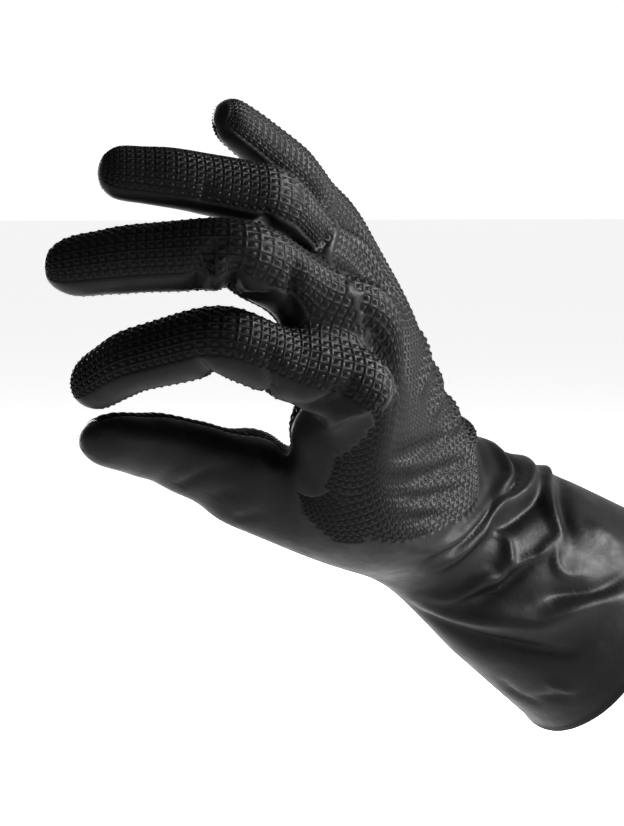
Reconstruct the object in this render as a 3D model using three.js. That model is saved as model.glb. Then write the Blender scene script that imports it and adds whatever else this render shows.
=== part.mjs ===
// A nitrile exam glove, held in the shape it has when worn with thumb and index finger pinching.
// It is one dipped skin: hollow, open at the cuff, with a rolled hem.
// Origin at the middle of the wrist, +X towards the mouth of the cuff, +Z up, millimetres.
import * as THREE from 'three';

// Driving dimensions
const wall = 1.1;
const hem_bead = 2.2;
const cuff_length = 69;
const mouth_width = 74;
const mouth_depth = 61;
const wrist_width = 62;
const wrist_depth = 38;
const palm_length = 94;
const palm_width = 84;
const palm_depth = 30;
const knuckle_width = 21;
const web_length = 21;
const wrist_bend_length = 34;
const shortest_bend = 6;
const fold_height = 2.6;
const fold_reach = 3.2;
const finger_sizes = {
  index: { proximal: 42, middle: 26, distal: 22, width: 18.5, depth: 17.5 },
  middle: { proximal: 46, middle: 27, distal: 24, width: 18.5, depth: 20.5 },
  ring: { proximal: 43, middle: 29, distal: 20, width: 17.5, depth: 14 },
  little: { proximal: 35, middle: 20, distal: 15.5, width: 15.5, depth: 12.5 },
};
const thumb_sizes = { metacarpal: 45, proximal: 34, distal: 26, width: 24, depth: 25 };

// The pose, in degrees
const arm_slope = 30.4;
const arm_roll = 58.2;
const wrist_extension = 30.6;
const wrist_deviation = -3.7;
const finger_bends = {
  index: { spread: -2, knuckle: 42.5, middle: 58, end: 20 },
  middle: { spread: -11, knuckle: 21.5, middle: 59, end: 9 },
  ring: { spread: -13, knuckle: 6.5, middle: 42.5, end: 12 },
  little: { spread: -7.5, knuckle: 3, middle: 13, end: 3 },
};
const thumb_bends = { spread: -2.2, dip: 36.3, knuckle: 4, end: 11.5 };

// Where each knuckle lies, as shares of the palm's width, length and depth
const knuckle_places = {
  index: { across: -0.277, along: 0.94, rise: 0.28 },
  middle: { across: -0.029, along: 1, rise: 0.21 },
  ring: { across: 0.234, along: 0.957, rise: 0.05 },
  little: { across: 0.448, along: 0.847, rise: -0.12 },
};
const thumb_place = { across: -0.209, along: 0.12, rise: -0.16 };

// Sections of cuff and palm. A share of 0 is the wrist's size, 1 the mouth's or the palm's.
const cuff_sections = [
  { place: 1, size: 1 },
  { place: 0.62, size: 0.61 },
  { place: 0.3, size: 0.26 },
  { place: 0.08, size: 0.04 },
];
const palm_sections = [
  { place: 0.12, width: 0.2, depth: 0.15, across: -0.02, rise: 0 },
  { place: 0.38, width: 0.95, depth: 0.85, across: -0.045, rise: -0.05 },
  { place: 0.66, width: 0.98, depth: 0.92, across: -0.025, rise: -0.05 },
];
const knuckle_share = 0.94;
const knuckle_depth_share = 1.22;
const cuff_squareness = 2.1;
const palm_squareness = 2.7;
const finger_squareness = 2.2;
const tip_angles = [62, 36];
const tip_reach_share = 1.0;
const bend_radius_share = 0.56;

// Rows of the palm, as shares of its length, between which the thumb leaves it
const thumb_opening = { start: 0.08, end: 0.66, columns: 7 };
const thumb_knuckle_share = 1.1;
const thumb_relax = { reach: 5, passes: 7 };
const last_relax = { reach: 8, passes: 16 };
const web_relax = { reach: 3, passes: 4 };
const relax_strength = 0.6;
const bead_angles = [90, 35, -35, -90];

// Swells of the whole form: places as shares of the palm's width, length and depth, the rest of its depth
const swells = [
  { across: -0.4, along: 0.3, rise: -0.45, reach: 0.67, height: 0.12 },
  { across: -0.22, along: 0.84, rise: -0.5, reach: 0.43, height: 0.13 },
];

// Places pushed one way (a direction in the hand's frame): the thumb's web, then the pad behind it
const web_pushes = [
  { across: -0.25, along: 0.66, rise: -0.62, way: [-0.57, 0.79, 0.22], reach: 0.43, height: 0.33 },
];
const pad_pushes = [
  { across: -0.3, along: 0.87, rise: -0.36, way: [-0.3, 0.1, -0.95], reach: 0.33, height: 0.17 },
  { across: -0.22, along: 0.78, rise: -0.45, way: [0, 0.26, -0.97], reach: 0.3, height: 0.1 },
];

// Folds, with reach and height as shares of a fold's own. A route is a list of places: a share of the turn
// round the part, then a share of its length, where the cuff runs from 0 at the wrist to -1 at the mouth.
const folds = [
  {
    part: 'palm', reach: 1.05, height: 1,
    route: [[0.42, -0.17], [0.34, -0.2], [0.295, -0.22], [0.27, -0.2], [0.225, -0.13], [0.19, -0.04],
      [0.12, 0.12], [0.07, 0.2], [0.045, 0.31], [0.04, 0.38]],
  },
  {
    part: 'palm', reach: 1, height: -0.92,
    route: [[0.42, -0.26], [0.345, -0.28], [0.29, -0.26], [0.24, -0.17], [0.2, -0.07], [0.13, 0.05],
      [0.075, 0.14], [0.04, 0.23]],
  },
  {
    part: 'palm', reach: 1.05, height: 0.92,
    route: [[0.42, -0.39], [0.35, -0.37], [0.29, -0.31], [0.247, -0.23], [0.205, -0.13], [0.14, -0.01],
      [0.11, 0.04], [0.065, 0.09], [0.015, 0.13]],
  },
  {
    part: 'palm', reach: 1, height: 0.77,
    route: [[0.39, -0.49], [0.36, -0.47], [0.295, -0.42], [0.247, -0.42], [0.22, -0.45], [0.19, -0.48]],
  },
  {
    part: 'palm', reach: 0.95, height: -0.54,
    route: [[0.33, -0.45], [0.26, -0.36], [0.2, -0.25], [0.15, -0.12]],
  },
  {
    part: 'palm', reach: 1, height: 0.65,
    route: [[0.12, -0.24], [0.087, -0.25], [0.065, -0.18], [0.015, -0.11], [-0.025, -0.01]],
  },
  {
    part: 'palm', reach: 0.95, height: -0.69,
    route: [[0.145, -0.38], [0.095, -0.3], [0.06, -0.26], [0.025, -0.19]],
  },
  {
    part: 'palm', reach: 1.4, height: 1.08,
    route: [[-0.05, -0.04], [-0.01, -0.2], [0.03, -0.36], [0.06, -0.5], [0.095, -0.6], [0.135, -0.71],
      [0.165, -0.84]],
  },
  {
    part: 'palm', reach: 1.15, height: -0.81,
    route: [[-0.08, -0.12], [-0.04, -0.29], [0, -0.46], [0.03, -0.62], [0.06, -0.75]],
  },
  {
    part: 'palm', reach: 1, height: -0.62,
    route: [[0.195, -0.81], [0.15, -0.7], [0.12, -0.57], [0.1, -0.48]],
  },
  { part: 'palm', reach: 1.2, height: 0.42, route: [[0.24, -0.61], [0.255, -0.7], [0.235, -0.78]] },
  { part: 'palm', reach: 1, height: -0.38, route: [[0.934, -0.61], [0.925, -0.72], [0.95, -0.83]] },
  {
    part: 'palm', reach: 0.95, height: -0.38,
    route: [[-0.05, 0.77], [-0.02, 0.75], [0.05, 0.66], [0.1, 0.55], [0.185, 0.34], [0.24, 0.19],
      [0.29, 0.06]],
  },
  {
    part: 'palm', reach: 0.95, height: -0.38,
    route: [[-0.03, 0.67], [0.03, 0.57], [0.085, 0.44], [0.15, 0.27], [0.2, 0.11]],
  },
  { part: 'palm', reach: 0.95, height: 0.54, route: [[0.2, 0.53], [0.26, 0.48], [0.32, 0.45], [0.4, 0.44]] },
  { part: 'palm', reach: 0.95, height: 0.58, route: [[0.2, 0.39], [0.26, 0.34], [0.32, 0.31], [0.4, 0.3]] },
  { part: 'palm', reach: 0.95, height: 0.62, route: [[0.2, 0.26], [0.26, 0.2], [0.33, 0.17], [0.4, 0.16]] },
  { part: 'palm', reach: 0.95, height: 0.73, route: [[0.2, 0.1], [0.26, 0.07], [0.33, 0.04], [0.4, 0.03]] },
  { part: 'palm', reach: 0.95, height: -0.58, route: [[0.24, 0], [0.33, -0.05], [0.42, -0.06]] },
  {
    part: 'palm', reach: 1.05, height: -0.46,
    route: [[0.045, 0.74], [0.05, 0.89], [0.11, 0.93], [0.135, 1.02], [0.2, 1.13]],
  },
  {
    part: 'middle', reach: 1, height: -0.75,
    route: [[0.14, 0.51], [0.07, 0.53], [-0.05, 0.55], [-0.18, 0.56]],
  },
  {
    part: 'middle', reach: 0.95, height: -0.77,
    route: [[0.13, 0.37], [0.09, 0.36], [0.03, 0.33], [-0.1, 0.25]],
  },
  { part: 'index', reach: 0.8, height: -0.46, route: [[0, 0.51], [-0.1, 0.51], [-0.25, 0.505]] },
  { part: 'index', reach: 0.8, height: -0.46, route: [[0.08, 0.355], [-0.09, 0.295], [-0.25, 0.28]] },
  { part: 'ring', reach: 0.8, height: -0.46, route: [[0.02, 0.515], [-0.1, 0.515], [-0.2, 0.51]] },
  { part: 'ring', reach: 0.8, height: -0.42, route: [[0.12, 0.25], [0.05, 0.265], [-0.08, 0.27]] },
  {
    part: 'thumb', reach: 0.95, height: -0.38,
    route: [[-0.04, 0.69], [0.03, 0.68], [0.13, 0.65], [0.19, 0.53]],
  },
  { part: 'thumb', reach: 0.95, height: -0.35, route: [[0, 0.586], [0.06, 0.58], [0.14, 0.52]] },
];
const fold_steps = 4;

// Width and depth along a finger, as shares of its own width and depth; place 0 is the web, 1 the tip
const finger_profile = [
  { place: 0, width: 1.04, depth: 1.05 },
  { place: 0.2, width: 1.0, depth: 1.0 },
  { place: 0.45, width: 0.97, depth: 0.98 },
  { place: 0.8, width: 0.92, depth: 0.88 },
  { place: 1, width: 0.84, depth: 0.8 },
];
const thumb_profile = [
  { place: 0, width: 1.1, depth: 1.1 },
  { place: 0.35, width: 0.94, depth: 0.78 },
  { place: 0.75, width: 0.84, depth: 0.66 },
  { place: 1, width: 0.74, depth: 0.56 },
];

// Mesh steps: columns over the back of one finger and over its side, and the length of one row
const back_columns = 4;
const side_columns = 2;
const row_length = 5;

const ring_columns = 2 * (back_columns + side_columns);
const palm_columns = 8 * back_columns + 2 * side_columns;
const finger_names = Object.keys(finger_sizes);
const radians = THREE.MathUtils.degToRad;

// Frames: a column for the direction across (towards the little finger), along (to the tips) and rise
function frame_axes(frame) {
  const across = new THREE.Vector3();
  const along = new THREE.Vector3();
  const rise = new THREE.Vector3();
  new THREE.Matrix4().makeRotationFromQuaternion(frame).extractBasis(across, along, rise);
  return { across, along, rise };
}

function turned(frame, axis, degrees) {
  return frame.clone().multiply(new THREE.Quaternion().setFromAxisAngle(axis, radians(degrees)));
}

const x_axis = new THREE.Vector3(1, 0, 0);
const y_axis = new THREE.Vector3(0, 1, 0);
const z_axis = new THREE.Vector3(0, 0, 1);
const base_frame = new THREE.Quaternion().setFromRotationMatrix(
  new THREE.Matrix4().makeBasis(y_axis, x_axis.clone().negate(), z_axis),
);
const slope_turn = new THREE.Quaternion().setFromAxisAngle(y_axis, radians(arm_slope));
const roll_turn = new THREE.Quaternion().setFromAxisAngle(x_axis, radians(arm_roll));
const arm_frame = slope_turn.clone().multiply(roll_turn).multiply(base_frame);
const hand_frame = turned(turned(arm_frame, x_axis, wrist_extension), z_axis, -wrist_deviation);

function mix(a, b, share) {
  return a + (b - a) * share;
}

function smooth(share) {
  const s = Math.min(1, Math.max(0, share));
  return s * s * (3 - 2 * s);
}

function table_value(table, place, column) {
  const last = table.length - 1;
  if (place <= table[0].place) return table[0][column];
  for (let i = 0; i < last; i += 1) {
    if (place <= table[i + 1].place) {
      const share = (place - table[i].place) / (table[i + 1].place - table[i].place);
      return mix(table[i][column], table[i + 1][column], smooth(share));
    }
  }
  return table[last][column];
}

// Points of a closed section, evenly spaced by arc length; 0 is just past the thumb side, over the back
function section_points(half_width, half_depth, squareness, columns, first) {
  const samples = 240;
  const outline = [];
  for (let i = 0; i <= samples; i += 1) {
    const angle = (2 * Math.PI * i) / samples;
    const c = Math.cos(angle);
    const s = Math.sin(angle);
    outline.push({
      x: -half_width * Math.sign(c) * Math.abs(c) ** (2 / squareness),
      y: half_depth * Math.sign(s) * Math.abs(s) ** (2 / squareness),
    });
  }
  const lengths = [0];
  for (let i = 1; i <= samples; i += 1) {
    const step = Math.hypot(outline[i].x - outline[i - 1].x, outline[i].y - outline[i - 1].y);
    lengths.push(lengths[i - 1] + step);
  }
  const points = [];
  for (let column = 0; column < columns; column += 1) {
    const wanted = (lengths[samples] * ((column + first) % columns)) / columns;
    const i = lengths.findIndex((length) => length > wanted) - 1;
    const share = (wanted - lengths[i]) / (lengths[i + 1] - lengths[i]);
    const x = mix(outline[i].x, outline[i + 1].x, share);
    const y = mix(outline[i].y, outline[i + 1].y, share);
    points.push({ x, y });
  }
  return points;
}

function ring(station, half_width, half_depth, squareness, columns, first) {
  const { across, rise } = frame_axes(station.frame);
  return section_points(half_width, half_depth, squareness, columns, first).map((p) => (
    station.point.clone().addScaledVector(across, p.x).addScaledVector(rise, p.y)
  ));
}

// The path of the arm and hand: a point and a frame at a distance from the wrist, mouth side negative
function arm_station(distance) {
  const step = 1;
  const point = new THREE.Vector3();
  const count = Math.max(1, Math.round(Math.abs(distance) / step));
  let frame = arm_frame;
  for (let i = 0; i < count; i += 1) {
    const middle = (distance * (i + 0.5)) / count;
    frame = arm_frame.clone().slerp(hand_frame, smooth(middle / wrist_bend_length + 0.5));
    point.addScaledVector(frame_axes(frame).along, distance / count);
  }
  frame = arm_frame.clone().slerp(hand_frame, smooth(distance / wrist_bend_length + 0.5));
  return { point, frame };
}

function hand_point(across, along, rise) {
  const station = arm_station(along);
  const axes = frame_axes(station.frame);
  return station.point.addScaledVector(axes.across, across).addScaledVector(axes.rise, rise);
}

// A digit's middle line: straight bones joined by bends whose length follows their angle
function digit_path(start, frame, bones, bends, bend_axis, bend_radius) {
  const step = 0.5;
  const total = bones.reduce((sum, bone) => sum + bone, 0);
  const joints = [0, bones[0], bones[0] + bones[1]];
  const path = [];
  const point = start.clone();
  for (let s = 0; s <= total + step / 2; s += step) {
    let bend = 0;
    joints.forEach((joint, j) => {
      const zone = Math.max(shortest_bend, Math.abs(radians(bends[j])) * bend_radius);
      bend += bends[j] * Math.min(1, Math.max(0, (s - joint) / zone + 0.5));
    });
    const bent_frame = turned(frame, bend_axis, bend);
    path.push({ point: point.clone(), frame: bent_frame });
    point.addScaledVector(frame_axes(bent_frame).along, step);
  }
  return {
    total,
    at(distance) {
      return path[Math.min(path.length - 1, Math.max(0, Math.round(distance / step)))];
    },
  };
}

function place_point(place) {
  return hand_point(place.across * palm_width, place.along * palm_length, place.rise * palm_depth);
}

function finger_path(name) {
  const size = finger_sizes[name];
  const bends = finger_bends[name];
  return digit_path(
    place_point(knuckle_places[name]),
    turned(hand_frame, z_axis, -bends.spread),
    [size.proximal, size.middle, size.distal],
    [-bends.knuckle, -bends.middle, -bends.end],
    x_axis,
    size.depth * bend_radius_share,
  );
}

const finger_paths = Object.fromEntries(finger_names.map((name) => [name, finger_path(name)]));
const thumb_path = digit_path(
  place_point(thumb_place),
  turned(turned(hand_frame, x_axis, -thumb_bends.dip), z_axis, -thumb_bends.spread),
  [thumb_sizes.metacarpal, thumb_sizes.proximal, thumb_sizes.distal],
  [0, thumb_bends.knuckle, thumb_bends.end],
  z_axis,
  thumb_sizes.depth,
);

function finger_ring(name, distance, width_share, depth_share) {
  const { width, depth } = finger_sizes[name];
  const station = finger_paths[name].at(distance);
  const half_width = (width * width_share) / 2;
  const half_depth = (depth * depth_share) / 2;
  return ring(station, half_width, half_depth, finger_squareness, ring_columns, side_columns / 2);
}

// Mesh store: a skin is a list of points and the quads between them
const points = [];
const quads = [];

function add_point(point) {
  points.push(point.clone());
  return points.length - 1;
}

function middle_point(list) {
  const sum = new THREE.Vector3();
  list.forEach((p) => sum.add(p));
  return sum.divideScalar(list.length);
}

// Column of the palm's ring that a finger's ring column joins, or null between two fingers
function palm_column(finger, column) {
  const k = back_columns;
  const s = side_columns;
  if (column <= k) return finger * k + column;
  if (column >= k + s && column <= 2 * k + s) return (3 * k + (3 - finger) * k + column) % palm_columns;
  if (finger === 3 && column < k + s) return 4 * k + column - k;
  if (finger === 0 && column > 2 * k + s) return 8 * k + s + column - 2 * k - s;
  return null;
}

// One ring round all four fingers, and the short lines between neighbours, from the back to the palm
function joined_rings(rings) {
  const k = back_columns;
  const s = side_columns;
  const outer = Array.from({ length: palm_columns }, () => []);
  const webs = [0, 1, 2].map(() => Array.from({ length: s + 1 }, () => []));
  rings.forEach((list, finger) => {
    list.forEach((point, column) => {
      const target = palm_column(finger, column);
      if (target !== null) outer[target].push(point);
    });
    for (let i = 0; i <= s; i += 1) {
      if (finger < 3) webs[finger][i].push(list[k + i]);
      if (finger > 0) webs[finger - 1][s - i].push(list[(2 * k + s + i) % ring_columns]);
    }
  });
  return {
    outer: outer.map((list) => middle_point(list)),
    webs: webs.map((line) => line.map((list) => middle_point(list))),
  };
}

// Rings at the knuckles, at the webs and one row further, where the fingers part
const knuckle_line = joined_rings(finger_names.map((name) => {
  const { width } = finger_sizes[name];
  return finger_ring(name, 0, knuckle_width / width, knuckle_depth_share);
}));
const web_line = joined_rings(finger_names.map((name) => (
  finger_ring(name, web_length, finger_profile[0].width, finger_profile[0].depth)
)));
const next_line = joined_rings(finger_names.map((name) => (
  finger_ring(name, web_length + row_length, finger_profile[0].width, finger_profile[0].depth)
)));

// Rings of the cuff and palm, each with its distance from the wrist
const bands = [];
cuff_sections.forEach((section) => {
  const distance = -section.place * cuff_length;
  const half_width = mix(wrist_width, mouth_width, section.size) / 2;
  const half_depth = mix(wrist_depth, mouth_depth, section.size) / 2;
  const list = ring(
    arm_station(distance),
    half_width,
    half_depth,
    cuff_squareness,
    palm_columns,
    side_columns / 2,
  );
  bands.push({ distance, list });
});
palm_sections.forEach((section) => {
  const distance = section.place * palm_length;
  const station = arm_station(distance);
  const axes = frame_axes(station.frame);
  station.point.addScaledVector(axes.across, section.across * palm_width);
  station.point.addScaledVector(axes.rise, section.rise * palm_depth);
  const half_width = mix(wrist_width, palm_width, section.width) / 2;
  const half_depth = mix(wrist_depth, palm_depth, section.depth) / 2;
  const squareness = mix(cuff_squareness, palm_squareness, section.width);
  const list = ring(station, half_width, half_depth, squareness, palm_columns, side_columns / 2);
  bands.push({ distance, list });
});
bands.push({ distance: knuckle_share * palm_length, list: knuckle_line.outer });
bands.push({ distance: knuckle_share * palm_length + web_length, list: web_line.outer });
bands.push({ distance: knuckle_share * palm_length + web_length + row_length, list: next_line.outer });

// A smooth curve through three or more points, cut into the rows of each stretch
function curve_tangent(before, at, after) {
  const back = at.clone().sub(before);
  const ahead = after.clone().sub(at);
  const a = back.length();
  const b = ahead.length();
  return back.multiplyScalar(b / a).addScaledVector(ahead, a / b).divideScalar(a + b);
}

function curve_point(p0, m0, p1, m1, t) {
  const length = p0.distanceTo(p1);
  const from = 2 * t ** 3 - 3 * t ** 2 + 1;
  return p0.clone().multiplyScalar(from)
    .addScaledVector(m0, (t ** 3 - 2 * t ** 2 + t) * length)
    .addScaledVector(p1, 1 - from)
    .addScaledVector(m1, (t ** 3 - t ** 2) * length);
}

function mean_gap(list_a, list_b) {
  const gaps = list_a.map((p, i) => p.distanceTo(list_b[i]));
  return gaps.reduce((sum, value) => sum + value, 0) / gaps.length;
}

const palm_rows = [];
bands.slice(0, -2).forEach((band, i) => {
  const next = bands[i + 1];
  const count = Math.max(1, Math.round(mean_gap(band.list, next.list) / row_length));
  for (let row = 0; row < count; row += 1) {
    const share = row / count;
    const list = band.list.map((p0, column) => {
      const p1 = next.list[column];
      const before = i === 0 ? p0.clone().multiplyScalar(2).sub(p1) : bands[i - 1].list[column];
      const m0 = curve_tangent(before, p0, p1);
      const m1 = curve_tangent(p0, p1, bands[i + 2].list[column]);
      return curve_point(p0, m0, p1, m1, share);
    });
    palm_rows.push({ distance: mix(band.distance, next.distance, share), list });
  }
});
palm_rows.push({ distance: bands[bands.length - 2].distance, list: web_line.outer });

// The opening where the thumb leaves the palm: whole rows and columns of the palm's mesh
const thumb_last_column = palm_columns - side_columns / 2;
const thumb_first_column = thumb_last_column - thumb_opening.columns;
function nearest_row(share) {
  const wanted = share * palm_length;
  let best = 0;
  palm_rows.forEach((row, i) => {
    if (Math.abs(row.distance - wanted) < Math.abs(palm_rows[best].distance - wanted)) best = i;
  });
  return best;
}
const thumb_first_row = nearest_row(thumb_opening.start);
const thumb_last_row = nearest_row(thumb_opening.end);

function in_thumb_opening(row, column, margin) {
  return row >= thumb_first_row + margin && row <= thumb_last_row - margin
    && column >= thumb_first_column + margin && column <= thumb_last_column - margin;
}

const palm_ids = palm_rows.map((row, r) => row.list.map((point, column) => (
  in_thumb_opening(r, column, 1) ? null : add_point(point)
)));
for (let row = 0; row < palm_ids.length - 1; row += 1) {
  for (let column = 0; column < palm_columns; column += 1) {
    const next = (column + 1) % palm_columns;
    const open = row >= thumb_first_row && row < thumb_last_row
      && column >= thumb_first_column && column < thumb_last_column;
    if (!open) {
      const lower = palm_ids[row];
      const upper = palm_ids[row + 1];
      quads.push([lower[column], lower[next], upper[next], upper[column]]);
    }
  }
}

function join_rings(lower, upper) {
  lower.forEach((id, i) => {
    const next = (i + 1) % lower.length;
    quads.push([id, lower[next], upper[next], upper[i]]);
  });
}

// A rounded end: rings shrinking on an ellipsoid, then a small grid of quads over the tip
function close_tip(path, ids, centre_distance, half_width, half_depth, reach, squareness, first, wide) {
  const station = path.at(centre_distance);
  const axes = frame_axes(station.frame);
  let last = ids;
  tip_angles.forEach((degrees) => {
    const size = Math.sin(radians(degrees));
    const forward = reach * Math.cos(radians(degrees));
    const centre = station.point.clone().addScaledVector(axes.along, forward);
    const list = ring(
      { point: centre, frame: station.frame },
      half_width * size,
      half_depth * size,
      squareness,
      ids.length,
      first,
    );
    const upper = list.map((point) => add_point(point));
    join_rings(last, upper);
    last = upper;
  });
  const high = ids.length / 2 - wide;
  const grid = [];
  for (let i = 0; i <= wide; i += 1) {
    grid.push([]);
    for (let j = 0; j <= high; j += 1) {
      let id = null;
      if (j === 0) id = last[i];
      else if (i === wide) id = last[wide + j];
      else if (j === high) id = last[wide + high + wide - i];
      else if (i === 0) id = last[2 * wide + high + high - j];
      grid[i].push(id);
    }
  }
  for (let i = 1; i < wide; i += 1) {
    for (let j = 1; j < high; j += 1) {
      const across = points[grid[0][j]].clone().lerp(points[grid[wide][j]], i / wide);
      const down = points[grid[i][0]].clone().lerp(points[grid[i][high]], j / high);
      const flat = across.lerp(down, 0.5).sub(station.point);
      const x = flat.dot(axes.across) / half_width;
      const z = flat.dot(axes.rise) / half_depth;
      const forward = reach * Math.sqrt(Math.max(0, 1 - x * x - z * z));
      const point = station.point.clone()
        .addScaledVector(axes.across, x * half_width)
        .addScaledVector(axes.rise, z * half_depth)
        .addScaledVector(axes.along, forward);
      grid[i][j] = add_point(point);
    }
  }
  for (let i = 0; i < wide; i += 1) {
    for (let j = 0; j < high; j += 1) {
      quads.push([grid[i][j], grid[i + 1][j], grid[i + 1][j + 1], grid[i][j + 1]]);
    }
  }
}

function point_normals() {
  const normals = points.map(() => new THREE.Vector3());
  quads.forEach((quad) => {
    const across = points[quad[2]].clone().sub(points[quad[0]]);
    const other = points[quad[3]].clone().sub(points[quad[1]]);
    const normal = across.cross(other);
    quad.forEach((id) => normals[id].add(normal));
  });
  return normals.map((normal) => normal.normalize());
}

// Fingers
const last_palm_ids = palm_ids[palm_ids.length - 1];
const web_ids = web_line.webs.map((line, finger) => line.map((point, i) => {
  if (i === 0) return last_palm_ids[(finger + 1) * back_columns];
  if (i === side_columns) return last_palm_ids[(7 - finger) * back_columns + side_columns];
  return add_point(point);
}));

finger_names.forEach((name, finger) => {
  const k = back_columns;
  const s = side_columns;
  const base = Array.from({ length: ring_columns }, (_, column) => {
    const target = palm_column(finger, column);
    if (target !== null) return last_palm_ids[target];
    if (column < k + s) return web_ids[finger][column - k];
    return web_ids[finger - 1][2 * k + 2 * s - column];
  });
  const { width, depth } = finger_sizes[name];
  const path = finger_paths[name];
  const end = finger_profile[finger_profile.length - 1];
  const reach = (depth / 2) * tip_reach_share;
  const end_distance = path.total - reach;
  const rows = Math.round((end_distance - web_length) / row_length);
  let last = base;
  for (let row = 1; row <= rows; row += 1) {
    const share = row / rows;
    const distance = mix(web_length, end_distance, share);
    const list = finger_ring(
      name,
      distance,
      table_value(finger_profile, share, 'width'),
      table_value(finger_profile, share, 'depth'),
    );
    const upper = list.map((point) => add_point(point));
    join_rings(last, upper);
    last = upper;
  }
  close_tip(
    path,
    last,
    end_distance,
    (width * end.width) / 2,
    (depth * end.depth) / 2,
    reach,
    finger_squareness,
    side_columns / 2,
    back_columns,
  );
});

// Thumb: from the opening's edge to a regular section at its knuckle, and on to the tip
const opening_high = thumb_last_row - thumb_first_row;
const opening_wide = thumb_last_column - thumb_first_column;
const thumb_columns = 2 * (opening_high + opening_wide);
const opening_edge = [];
for (let i = 0; i < opening_high; i += 1) opening_edge.push([thumb_first_row + i, thumb_last_column]);
for (let i = 0; i < opening_wide; i += 1) opening_edge.push([thumb_last_row, thumb_last_column - i]);
for (let i = 0; i < opening_high; i += 1) opening_edge.push([thumb_last_row - i, thumb_first_column]);
for (let i = 0; i < opening_wide; i += 1) opening_edge.push([thumb_first_row, thumb_first_column + i]);
const opening_ids = opening_edge.map(([row, column]) => palm_ids[row][column]);

function thumb_ring(distance, share) {
  return ring(
    thumb_path.at(distance),
    (thumb_sizes.depth * table_value(thumb_profile, share, 'depth')) / 2,
    (thumb_sizes.width * table_value(thumb_profile, share, 'width')) / 2,
    finger_squareness,
    thumb_columns,
    thumb_columns - opening_high / 2,
  );
}

const knuckle_distance = thumb_sizes.metacarpal * thumb_knuckle_share;
const knuckle_ring = thumb_ring(knuckle_distance, 0);
const thumb_along = frame_axes(thumb_path.at(knuckle_distance).frame).along;
const root_points = opening_ids.map((id) => points[id].clone());
const opening_middle = middle_point(root_points);
const root_rows = Math.round(mean_gap(root_points, knuckle_ring) / row_length);
let thumb_ids = opening_ids;
for (let row = 1; row <= root_rows; row += 1) {
  const share = row / root_rows;
  const upper = root_points.map((start, i) => {
    const inward = opening_middle.clone().sub(start).normalize();
    const leaving = inward.add(thumb_along).normalize();
    return add_point(curve_point(start, leaving, knuckle_ring[i], thumb_along, share));
  });
  join_rings(thumb_ids, upper);
  thumb_ids = upper;
}
const thumb_end = thumb_profile[thumb_profile.length - 1];
const thumb_reach = (thumb_sizes.width / 2) * tip_reach_share;
const thumb_end_distance = thumb_path.total - thumb_reach;
const thumb_rows = Math.round((thumb_end_distance - knuckle_distance) / row_length);
for (let row = 1; row <= thumb_rows; row += 1) {
  const share = row / thumb_rows;
  const upper = thumb_ring(mix(knuckle_distance, thumb_end_distance, share), share).map((p) => add_point(p));
  join_rings(thumb_ids, upper);
  thumb_ids = upper;
}
close_tip(
  thumb_path,
  thumb_ids,
  thumb_end_distance,
  (thumb_sizes.depth * thumb_end.depth) / 2,
  (thumb_sizes.width * thumb_end.width) / 2,
  thumb_reach,
  finger_squareness,
  thumb_columns - opening_high / 2,
  opening_high,
);

// Neighbours of each point, and how many steps it lies from the lines where tubes meet
const neighbours = points.map(() => new Set());
quads.forEach((quad) => {
  quad.forEach((id, i) => {
    neighbours[id].add(quad[(i + 1) % 4]);
    neighbours[id].add(quad[(i + 3) % 4]);
  });
});

function steps_from(seeds, limit) {
  const steps = points.map(() => limit);
  let front = seeds;
  front.forEach((id) => { steps[id] = 0; });
  for (let step = 1; step < limit; step += 1) {
    const next = [];
    front.forEach((id) => neighbours[id].forEach((other) => {
      if (steps[other] > step) {
        steps[other] = step;
        next.push(other);
      }
    }));
    front = next;
  }
  return steps;
}

// Evens the surface out near the given points, most of all at them
function relax(seeds, reach, passes) {
  const steps = steps_from(seeds, reach);
  for (let pass = 0; pass < passes; pass += 1) {
    const moved = points.map((point, id) => {
      if (steps[id] >= reach) return point;
      const target = middle_point([...neighbours[id]].map((other) => points[other]));
      return point.clone().lerp(target, relax_strength * (1 - steps[id] / reach));
    });
    moved.forEach((point, id) => { points[id] = point; });
  }
}

relax(opening_ids, thumb_relax.reach, thumb_relax.passes);
relax(web_ids.flat(), web_relax.reach, web_relax.passes);

// Moves every point out along the surface's own normal
function raise(height_at) {
  const normals = point_normals();
  points.forEach((point, id) => {
    points[id] = point.clone().addScaledVector(normals[id], height_at(point));
  });
}

function falloff(gap, reach) {
  const share = gap / reach;
  return Math.exp(-share * share);
}

function swell_height(point) {
  return swells.reduce((sum, row) => (
    sum + row.height * palm_depth * falloff(point.distanceTo(place_point(row)), row.reach * palm_depth)
  ), 0);
}

function push(table) {
  const { across, along, rise } = frame_axes(hand_frame);
  table.forEach((row) => {
    const centre = place_point(row);
    const way = across.clone().multiplyScalar(row.way[0])
      .addScaledVector(along, row.way[1])
      .addScaledVector(rise, row.way[2]);
    points.forEach((point, id) => {
      const distance = row.height * palm_depth * falloff(point.distanceTo(centre), row.reach * palm_depth);
      points[id] = point.clone().addScaledVector(way, distance);
    });
  });
}

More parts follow.
